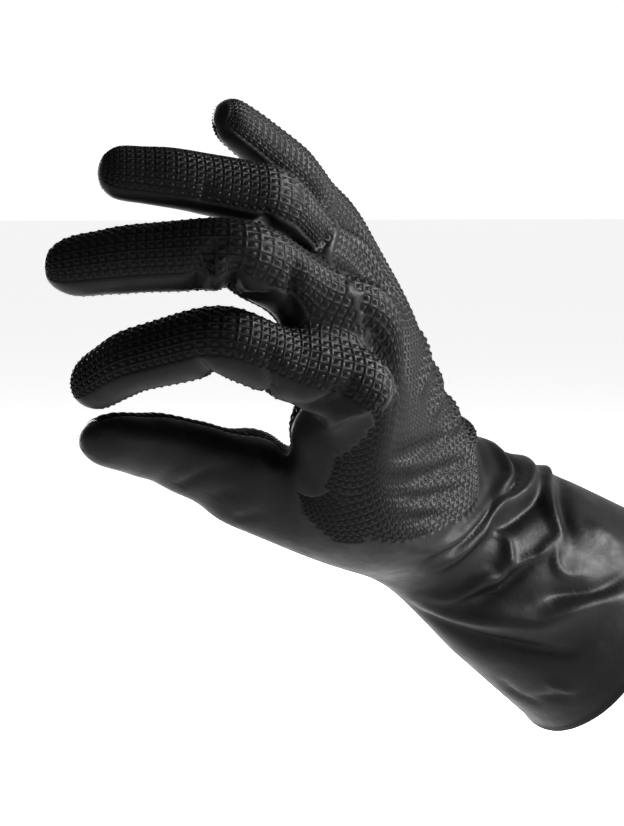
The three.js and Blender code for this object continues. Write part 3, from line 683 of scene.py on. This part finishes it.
# Folds and creases: part, reach, height, and the route as places around and along (millimetres)
CREASES = (
    ("palm", 2.3, 3, (
        (0.42, -12), (0.344, -13.7), (0.295, -15), (0.274, -13.7), (0.226, -8.7), (0.191, -2.9),
        (0.122, 11), (0.073, 19), (0.045, 29), (0.038, 36),
    )),
    ("palm", 1.9, -3.3, (
        (0.42, -18), (0.345, -19.5), (0.29, -18), (0.24, -12), (0.2, -5), (0.13, 5), (0.075, 13),
        (0.04, 22),
    )),
    ("palm", 2.3, 2.9, (
        (0.42, -27), (0.351, -25.7), (0.288, -21.5), (0.247, -16), (0.205, -9), (0.142, -1),
        (0.108, 3.5), (0.066, 8), (0.017, 12),
    )),
    ("palm", 2.1, -2.8, ((0.33, -31), (0.26, -25), (0.2, -17), (0.15, -8))),
    ("palm", 2, 2.6, (
        (0.39, -34), (0.358, -32.3), (0.295, -29), (0.247, -29), (0.219, -31.2), (0.188, -33.4),
    )),
    ("palm", 2.4, -2.4, ((0.38, -40), (0.3, -35), (0.25, -35), (0.22, -37))),
    ("palm", 1.5, 1.5, (
        (0.135, -2.9), (0.149, -6.2), (0.157, -11.2), (0.153, -15), (0.128, -17.5), (0.115, -20.1),
        (0.135, -23.5), (0.156, -26.8), (0.177, -29), (0.188, -30.5), (0.16, -32.3), (0.149, -34.5),
        (0.149, -37.8), (0.163, -42.2),
    )),
    ("palm", 2.3, 2.2, ((0.122, -16.3), (0.087, -17.5), (0.066, -12.5), (0.017, -7.4), (-0.024, -0.8))),
    ("palm", 1.9, -3, ((0.145, -26), (0.094, -21), (0.059, -18), (0.025, -13))),
    ("palm", 3.4, 3.2, (
        (-0.05, -3), (-0.01, -13.7), (0.031, -24.6), (0.059, -34.5), (0.094, -41.1), (0.135, -48.8),
        (0.165, -58),
    )),
    ("palm", 2.6, -3.2, ((-0.08, -8), (-0.04, -20), (0, -32), (0.03, -43), (0.06, -52))),
    ("palm", 2.1, -2.6, ((0.195, -56), (0.149, -48), (0.122, -39), (0.1, -33))),
    ("palm", 3.5, 1, ((0.24, -42), (0.255, -48), (0.235, -54))),
    ("palm", 1.2, 0.8, ((0.066, -51), (0.08, -57))),
    ("palm", 1.5, 1, ((-0.01, -50), (0.005, -61))),
    ("palm", 1.4, -0.9, ((-0.05, -53), (0.012, -61))),
    ("palm", 2, -1.2, ((0.934, -42), (0.925, -50), (0.95, -57))),
    ("palm", 1.7, -2.5, (
        (-0.05, 72), (-0.02, 70.5), (0.052, 62.5), (0.101, 52), (0.184, 32), (0.24, 18), (0.27, 10),
    )),
    ("palm", 1.7, -2.5, ((-0.06, 66), (-0.015, 65), (0.052, 57), (0.115, 40), (0.17, 24), (0.21, 12))),
    ("palm", 1.7, -2.5, ((-0.03, 60), (0.031, 51), (0.087, 37), (0.13, 24))),
    ("palm", 1.7, -2.3, ((-0.02, 48), (0.04, 37), (0.08, 27))),
    ("palm", 1.5, -2, ((0.03, 72), (0.1, 62), (0.18, 45), (0.25, 29), (0.3, 19))),
    ("palm", 2, 1.8, ((0.25, 53), (0.3, 47), (0.35, 43), (0.42, 41))),
    ("palm", 2, 1.8, ((0.25, 41), (0.3, 35), (0.35, 31), (0.42, 28))),
    ("palm", 2, 1.9, ((0.27, 26), (0.31, 21), (0.35, 18), (0.42, 15))),
    ("palm", 2, 2.2, ((0.29, 12), (0.32, 8), (0.36, 5), (0.42, 3))),
    ("palm", 2.2, -4, ((0.93, 106), (0.947, 101), (0.965, 99), (0.985, 98.5), (1.003, 98.5), (1.02, 98))),
    ("palm", 1.6, 1.6, (
        (0.854, 76), (0.882, 80), (0.93, 90), (0.965, 93.6), (0.985, 93), (1.007, 91), (1.03, 89),
    )),
    ("palm", 2.4, -1.6, ((0.24, 0), (0.33, -3.5), (0.42, -4))),
    ("palm", 3, -1.2, ((0.045, 70), (0.049, 84), (0.11, 87), (0.135, 96), (0.2, 106))),
    ("palm", 1.3, -1.5, ((0.045, 98), (-0.024, 101), (-0.06, 100))),
    ("palm", 1.1, 0.7, ((0.05, 110), (0.066, 103))),
    ("middle", 1.5, -3.4, ((0.14, 50.5), (0.07, 52.4), (-0.05, 55.5), (-0.16, 57))),
    ("middle", 1.7, 1.5, ((0.1, 49.4), (0.0, 50.8), (-0.15, 52))),
    ("middle", 1.8, -4, ((0.08, 48.3), (0, 47.5), (-0.13, 46.2), (-0.2, 46))),
    ("middle", 1.4, 1, ((-0.1, 44), (0, 40), (0.08, 35.5))),
    ("middle", 1.8, -1.5, ((-0.16, 40), (-0.05, 37.5))),
    ("middle", 1.7, -3.6, ((0.13, 36), (0.09, 34.6), (0.03, 32.2), (-0.06, 26.5), (-0.1, 24))),
    ("index", 1.3, -2.6, ((0, 45.9), (-0.1, 45.9), (-0.25, 45.5))),
    ("index", 1.1, -2.6, ((0.08, 32), (-0.09, 26.5), (-0.25, 25))),
    ("index", 1, 0.6, ((0.05, 33), (0.05, 22))),
    ("ring", 1.3, -2.6, ((0.02, 47.4), (-0.1, 47.4), (-0.2, 47))),
    ("ring", 1.3, -2.2, ((0.12, 23), (0.05, 24.5), (-0.08, 25))),
    ("ring", 1.3, -0.9, ((0.01, 65.7), (0.115, 64.5))),
    ("thumb", 1.8, -1.1, ((-0.04, 72.5), (0.03, 71.5), (0.13, 68), (0.19, 56))),
    ("thumb", 1.6, -0.9, ((0, 61.5), (0.06, 61), (0.14, 54.5))),
    ("thumb", 1.5, -0.9, ((-0.03, 53), (0.02, 52.5), (0.09, 49))),
)

CREASE_STEPS = (0, 0.25, 0.5, 0.75)
GROOVE_POWER = 1.25
RIDGE_POWER = 2
RUN_OUT = 0.02


def ring_at(part, along):
    """The ring of surface points at a distance along the palm or a digit."""
    if part == "palm":
        i = int(np.clip(np.searchsorted(row_distances, along) - 1, 0, len(rows) - 2))
        share = (along - row_distances[i]) / (row_distances[i + 1] - row_distances[i])
        return mix(rows[i][1], rows[i + 1][1], share)
    digit = DIGITS[part]
    if part == "thumb":
        start = THUMB["bones"][0] * THUMB_KNUCKLE_SHARE
        share = (along - start) / (digit.total - THUMB["width"] / 2 - start)
        across_half = THUMB["depth"] * profile_value(THUMB_PROFILE, max(0, share), 2) / 2
        rise_half = THUMB["width"] * profile_value(THUMB_PROFILE, max(0, share), 1) / 2
        return ring(digit.at(along), across_half, rise_half, FINGER_SQUARENESS, RING, 0)
    share = (along - WEB_LENGTH) / (digit.total - FINGERS[part]["depth"] / 2 - WEB_LENGTH)
    width = profile_value(FINGER_PROFILE, max(0, share), 1)
    depth = profile_value(FINGER_PROFILE, max(0, share), 2)
    return finger_ring(part, along, width, depth)


def surface_point(part, around, along):
    points = ring_at(part, along)
    place = (around % 1) * len(points)
    low = int(place)
    return mix(points[low % len(points)], points[(low + 1) % len(points)], place - low)


def crease_line(part, route):
    """Points on the surface along a crease: its route rounded off and cut into short steps."""
    places = np.array(route, float)
    before = np.concatenate([2 * places[:1] - places[1:2], places, 2 * places[-1:] - places[-2:-1]])
    line = []
    for i in range(len(places) - 1):
        a, b, c, d = before[i : i + 4]
        for t in CREASE_STEPS:
            m0 = (c - a) / 2
            m1 = (d - b) / 2
            spot = (
                (2 * t**3 - 3 * t**2 + 1) * b + (t**3 - 2 * t**2 + t) * m0
                + (3 * t**2 - 2 * t**3) * c + (t**3 - t**2) * m1
            )
            line.append(surface_point(part, *spot))
    line.append(surface_point(part, *places[-1]))
    return line


def crease_heights(points):
    """Height of all creases at each point: a bell across each crease, fading out towards its ends."""
    total = np.zeros(len(points))
    for part, reach, height, route in CREASES:
        line = crease_line(part, route)
        nearest = np.full(len(points), np.inf)
        fade = np.zeros(len(points))
        for i in range(len(line) - 1):
            way = line[i + 1] - line[i]
            share = np.clip((points - line[i]) @ way / (way @ way), 0, 1)
            gap = np.linalg.norm(points - line[i] - share[:, None] * way, axis=1)
            closer = gap < nearest
            nearest = np.where(closer, gap, nearest)
            fade = np.where(closer, (i + share) / (len(line) - 1), fade)
        # A groove is sharp at its bottom, a ridge is round
        power = GROOVE_POWER if height < 0 else RIDGE_POWER
        profile = np.exp(-((nearest / reach) ** power))
        total += height * profile * np.sqrt(np.sin(math.pi * np.clip(fade, RUN_OUT, 1 - RUN_OUT)))
    return total


# The grip texture: a fine raised net, a pit in each mesh and a nub in each pit
PIT_DEPTH = 0.36
NUB_HEIGHT = 0.18
NET_SHARE = 0.15
NUB_FOOT_SHARE = 0.5
NUB_TOP_SHARE = 0.78

# Lowest row of the texture on the back and thumb side, and the smooth band at the fingers' roots
GRIP_BORDER = (
    (-0.06, 60), (-0.02, 44), (0.05, 31), (0.09, 26), (0.132, 16), (0.188, 5), (0.3, 3), (0.5, 8),
)
SMOOTH_BAND = ((0, 86), (0.05, 86), (0.11, 88), (0.135, 97), (0.2, 106), (0.5, 109))
SMOOTH_BAND_AROUND = (0.02, 0.5)
SMOOTH_BAND_HALF_WIDTH = 1.6

# Places around the palm where each panel starts or ends, and rows where it starts or ends
BACK_START = -0.004
THUMB_SIDE_START = -0.07
THUMB_SIDE_TOP = 84
THUMB_SIDE_SLANT = 150
PALM_SIDE_END = 0.84
PALM_SIDE_LOWEST = 8
SEAM = 0.9

# Cells of the thumb: those of its root that belong to the back's panel, and the strip on its palm side
ROOT_LAST_ROW = -7
ROOT_FIRST_COLUMN = 15
ROOT_SLANT = 26
ROOT_EXTRA = 2
STRIP_BEFORE = 3
STRIP_SHORT = 6

HEM_ANGLES = (90, 60, 30, 0, -30, -60, -90)


def textured_cells():
    """Which cells carry the grip texture: palm and back, and the digits' faces but not their sides."""
    along = np.interp(cell_row / 2, np.arange(len(rows)), row_distances)
    around = (cell_column + 0.5) / (2 * ROUND)
    around = np.where(around > SEAM, around - 1, around)
    lowest = np.interp(around, *zip(*GRIP_BORDER))
    band = np.interp(around, *zip(*SMOOTH_BAND))
    band_start, band_end = SMOOTH_BAND_AROUND
    in_band = (around > band_start) & (around < band_end) & (np.abs(along - band) < SMOOTH_BAND_HALF_WIDTH)
    back = (around < 4 * BACK / ROUND) & (around >= BACK_START) & (along > lowest) & ~in_band
    highest = THUMB_SIDE_TOP + THUMB_SIDE_SLANT * around
    thumb_side = (around < 0) & (around > THUMB_SIDE_START) & (along > lowest) & (along < highest)
    palm_side = (around > (4 * BACK + SIDE) / ROUND) & (around < PALM_SIDE_END)
    palm_side &= along > PALM_SIDE_LOWEST
    grip = (cell_part == PARTS.index("palm")) & (back | thumb_side | palm_side)
    fingers = np.isin(cell_part, [PARTS.index(name) for name in NAMES])
    far_side = (cell_column >= 2 * BACK) & (cell_column < 2 * (BACK + SIDE))
    near_side = cell_column >= 4 * BACK + 2 * SIDE
    grip |= fingers & ~far_side & ~near_side
    high = 2 * (THUMB_LAST_ROW - THUMB_FIRST_ROW)
    wide = 2 * THUMB_OPENING["columns"]
    thumb = cell_part == PARTS.index("thumb")
    root = thumb & (cell_row <= ROOT_LAST_ROW) & (cell_row <= cell_column - ROOT_SLANT)
    root &= (cell_column >= ROOT_FIRST_COLUMN) & (cell_column < high + ROOT_EXTRA)
    strip_start = high + wide - STRIP_BEFORE
    strip_end = 2 * high + wide - STRIP_SHORT
    strip = thumb & (cell_column >= strip_start) & (cell_column < strip_end)
    return grip | root | strip


def grip_mesh(points, normals, grip):
    """Net, pit and nub of each textured cell. The new points follow the skin's own."""
    count = len(cell_points)
    edges, where = edges_of(cell_quads)
    bordering = np.bincount(where[~grip].ravel(), minlength=len(edges)) > 0
    textured = np.flatnonzero(grip)
    corners = cell_quads[textured]
    centres = count + len(edges) + textured
    centre = points[centres][:, None]
    centre_normal = normals[centres][:, None]
    first = len(points)
    new_points = []
    ring_ids = []
    levels = ((NET_SHARE, -PIT_DEPTH), (NUB_FOOT_SHARE, -PIT_DEPTH), (NUB_TOP_SHARE, NUB_HEIGHT))
    for share, height in levels:
        lean = mix(normals[corners], centre_normal, share)
        new_points.append((mix(points[corners], centre, share) + lean * height).reshape(-1, 3))
        ring_ids.append(first + np.arange(corners.size).reshape(-1, 4))
        first += corners.size
    net, foot, top = ring_ids
    polygons = []
    for k in range(4):
        following = (k + 1) % 4
        for i, cell in enumerate(textured):
            edge = where[cell, k]
            middle = [count + edge] if bordering[edge] else []
            outside = [corners[i, k]] + middle + [corners[i, following]]
            polygons.append(outside + [net[i, following], net[i, k]])
        for low, high in ((net, foot), (foot, top)):
            sides = np.stack([low[:, k], low[:, following], high[:, following], high[:, k]], axis=1)
            polygons += sides.tolist()
    polygons += top.tolist()
    return new_points, polygons


def hem_mesh(points, normals, inner, first):
    """The rolled bead round the mouth, from the outer skin's edge to the inner skin's."""
    rim = rim_loop(skin_quads, len(cell_points))
    rim_normals = normals[rim]
    mouth_way = -axes_of(ARM)[1]
    radius = HEM_BEAD / 2
    forward = math.sqrt(radius**2 - (WALL / 2) ** 2)
    middle = points[rim] - rim_normals * WALL / 2 + mouth_way * forward
    size = len(rim)
    after = (np.arange(size) + 1) % size
    last = np.array(rim)
    new_points = []
    polygons = []
    for degrees in HEM_ANGLES:
        angle = math.radians(degrees)
        ahead = mouth_way * radius * math.cos(angle)
        new_points.append(middle + ahead + rim_normals * radius * math.sin(angle))
        upper = first + np.arange(size)
        first += size
        polygons += np.stack([upper, upper[after], last[after], last], axis=1).tolist()
        last = upper
    for i in range(0, size, 2):
        following = (i + 2) % size
        polygons.append([inner + rim[i], inner + rim[following], last[following], last[i + 1], last[i]])
    return new_points, polygons


def build_skin_mesh():
    heights = crease_heights(skin_points)
    points = skin_points + grid_normals(skin_points, skin_quads) * heights[:, None]
    normals = grid_normals(points, skin_quads)
    count = len(cell_points)
    grip = textured_cells()
    smooth_quads = skin_quads.reshape(-1, 4, 4)[~grip].reshape(-1, 4)
    grip_points, grip_polygons = grip_mesh(points, normals, grip)

    # The inner skin is coarser: one quad for each cell
    inner = len(points) + sum(len(group) for group in grip_points)
    inner_points = points[:count] - normals[:count] * WALL
    inner_quads = cell_quads[:, ::-1] + inner
    hem_points, hem_polygons = hem_mesh(points, normals, inner, inner + count)
    all_points = np.concatenate([points, *grip_points, inner_points, *hem_points])
    return all_points, smooth_quads.tolist() + grip_polygons + inner_quads.tolist() + hem_polygons


def rim_loop(quads, cell_count):
    """The open edge's points in order, starting at a cell's corner."""
    edges, where = edges_of(quads)
    rim = np.bincount(where.ravel(), minlength=len(edges))[where] == 1
    following = {}
    for quad, corner in zip(*np.nonzero(rim)):
        following[int(quads[quad, corner])] = int(quads[quad, (corner + 1) % 4])
    start = next(point for point in following if point < cell_count)
    loop = [start]
    while following[loop[-1]] != start:
        loop.append(following[loop[-1]])
    return loop


def new_piece(name, points, polygons):
    used = np.unique(np.concatenate([np.array(polygon) for polygon in polygons]))
    place = np.zeros(len(points), int)
    place[used] = np.arange(len(used))
    mesh = bpy.data.meshes.new(name)
    faces = [place[np.array(polygon)].tolist() for polygon in polygons]
    mesh.from_pydata((points[used] * MM).tolist(), [], faces)
    mesh.validate()
    mesh.shade_smooth()
    piece = bpy.data.objects.new(name, mesh)
    bpy.context.scene.collection.objects.link(piece)
    return piece


# The film's two shades and its gloss. Its fine grain and ripple: pattern scale, detail, strength, height
SHADES = ((0.001, 0.001, 0.0011, 1), (0.002, 0.002, 0.0022, 1))
SHADE_SCALE = 60
ROUGHNESS_RANGE = (0.4, 0.54)
ROUGHNESS_SCALE = 140
FILM_IOR = 1.5
SPECULAR_LEVEL = 0.06
GRAIN = (2600, 3, 0.35, 0.00012)
RIPPLE = (170, 3, 0.4, 0.0006)


def nitrile_material():
    """Satin black nitrile: near-black film with soft uneven gloss and a fine skin grain."""
    material = bpy.data.materials.new("nitrile")
    material.use_nodes = True
    nodes = material.node_tree.nodes
    links = material.node_tree.links
    shader = nodes["Principled BSDF"]
    place = nodes.new("ShaderNodeTexCoord")

    def noise(scale, detail, roughness=0.5):
        node = nodes.new("ShaderNodeTexNoise")
        node.inputs["Scale"].default_value = scale
        node.inputs["Detail"].default_value = detail
        node.inputs["Roughness"].default_value = roughness
        links.new(place.outputs["Object"], node.inputs["Vector"])
        return node.outputs["Fac"]

    def ramp(source, low, high):
        node = nodes.new("ShaderNodeMapRange")
        node.inputs["From Min"].default_value = 0.3
        node.inputs["From Max"].default_value = 0.7
        node.inputs["To Min"].default_value = low
        node.inputs["To Max"].default_value = high
        links.new(source, node.inputs["Value"])
        return node.outputs["Result"]

    def bump(scale, detail, strength, height):
        node = nodes.new("ShaderNodeBump")
        node.inputs["Strength"].default_value = strength
        node.inputs["Distance"].default_value = height
        links.new(noise(scale, detail), node.inputs["Height"])
        return node

    colour = nodes.new("ShaderNodeMix")
    colour.data_type = "RGBA"
    colour.inputs["A"].default_value, colour.inputs["B"].default_value = SHADES
    links.new(ramp(noise(SHADE_SCALE, 4), 0, 1), colour.inputs["Factor"])
    links.new(colour.outputs["Result"], shader.inputs["Base Color"])
    links.new(ramp(noise(ROUGHNESS_SCALE, 5, 0.6), *ROUGHNESS_RANGE), shader.inputs["Roughness"])
    shader.inputs["IOR"].default_value = FILM_IOR
    shader.inputs["Specular IOR Level"].default_value = SPECULAR_LEVEL

    grain = bump(*GRAIN)
    ripple = bump(*RIPPLE)
    links.new(grain.outputs["Normal"], ripple.inputs["Normal"])
    links.new(ripple.outputs["Normal"], shader.inputs["Normal"])
    return material


# The studio's brightness behind the glove and before it, and where the passage between them lies
BRIGHT_WORLD = 1.1
DIM_WORLD = 0.24
PASSAGE = (0.1, 0.8)

# Lights: name, place (to the right, up and towards the camera), size and power. Metres and watts
LIGHTS = (
    ("key", (1.2, 0.55, 0.02), 0.4, 85),
    ("fill", (0.1, 0.5, 1.2), 0.9, 5),
    ("far side", (-0.5, 0.3, -1.2), 0.9, 30),
)
FLOOR_HALF_SIZE = 40
FLOOR_GAP = 0.06


def add_camera():
    """The photo's view: the glove's own origin stays where it is in the picture."""
    azimuth, elevation = math.radians(-34.33), math.radians(5)
    distance = 1.0
    picture_width, picture_height = 624, 826
    pixels_per_metre = 3478
    origin_x, origin_y = 425.7, 507.8
    back = Vector((
        math.sin(azimuth) * math.cos(elevation),
        -math.cos(azimuth) * math.cos(elevation),
        math.sin(elevation),
    ))
    right = Vector((math.cos(azimuth), math.sin(azimuth), 0))
    up = back.cross(right)
    target = right * (picture_width / 2 - origin_x) / pixels_per_metre
    target += up * (origin_y - picture_height / 2) / pixels_per_metre
    data = bpy.data.cameras.new("camera")
    data.sensor_fit = "HORIZONTAL"
    data.sensor_width = 36
    data.lens = data.sensor_width * pixels_per_metre * distance / picture_width
    camera = bpy.data.objects.new("camera", data)
    camera.location = back * distance
    camera.rotation_euler = (camera.location - target).to_track_quat("Z", "Y").to_euler()
    bpy.context.scene.collection.objects.link(camera)
    bpy.context.scene.camera = camera
    return right, up, back


def add_area_light(name, place, size, power):
    data = bpy.data.lights.new(name, "AREA")
    data.shape = "DISK"
    data.size = size
    data.energy = power
    light = bpy.data.objects.new(name, data)
    light.location = place
    light.rotation_euler = place.to_track_quat("Z", "Y").to_euler()
    bpy.context.scene.collection.objects.link(light)


def add_world(bright_way):
    """A studio that is white on one side and dim on the other, with an even passage between them."""
    world = bpy.data.worlds.new("world")
    world.use_nodes = True
    nodes = world.node_tree.nodes
    links = world.node_tree.links
    place = nodes.new("ShaderNodeTexCoord")
    facing = nodes.new("ShaderNodeVectorMath")
    facing.operation = "DOT_PRODUCT"
    facing.inputs[1].default_value = bright_way
    links.new(place.outputs["Generated"], facing.inputs[0])
    strength = nodes.new("ShaderNodeMapRange")
    strength.inputs["From Min"].default_value = PASSAGE[0]
    strength.inputs["From Max"].default_value = PASSAGE[1]
    strength.inputs["To Min"].default_value = DIM_WORLD
    strength.inputs["To Max"].default_value = BRIGHT_WORLD
    links.new(facing.outputs["Value"], strength.inputs["Value"])
    links.new(strength.outputs["Result"], nodes["Background"].inputs["Strength"])
    nodes["Background"].inputs["Color"].default_value = (1, 1, 1, 1)
    bpy.context.scene.world = world


def add_floor(height):
    size = FLOOR_HALF_SIZE
    mesh = bpy.data.meshes.new("floor")
    corners = [(-size, -size, height), (size, -size, height), (size, size, height), (-size, size, height)]
    mesh.from_pydata(corners, [], [(0, 1, 2, 3)])
    floor = bpy.data.objects.new("floor", mesh)
    material = bpy.data.materials.new("floor")
    material.use_nodes = True
    shader = material.node_tree.nodes["Principled BSDF"]
    shader.inputs["Base Color"].default_value = (0.9, 0.9, 0.9, 1)
    shader.inputs["Roughness"].default_value = 0.9
    shader.inputs["Emission Color"].default_value = (1, 1, 1, 1)
    shader.inputs["Emission Strength"].default_value = 0.5
    mesh.materials.append(material)
    bpy.context.scene.collection.objects.link(floor)


right, up, back = add_camera()
for name, (across, high, near), size, power in LIGHTS:
    add_area_light(name, right * across + up * high + back * near, size, power)
add_world(-back)
bpy.context.scene.view_settings.view_transform = "Standard"
add_floor(solid_bounds[0][2] - FLOOR_GAP)

glove = new_piece("glove", *build_skin_mesh())
glove.data.materials.append(nitrile_material())
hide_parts("glove_shell")
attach(glove, "root")
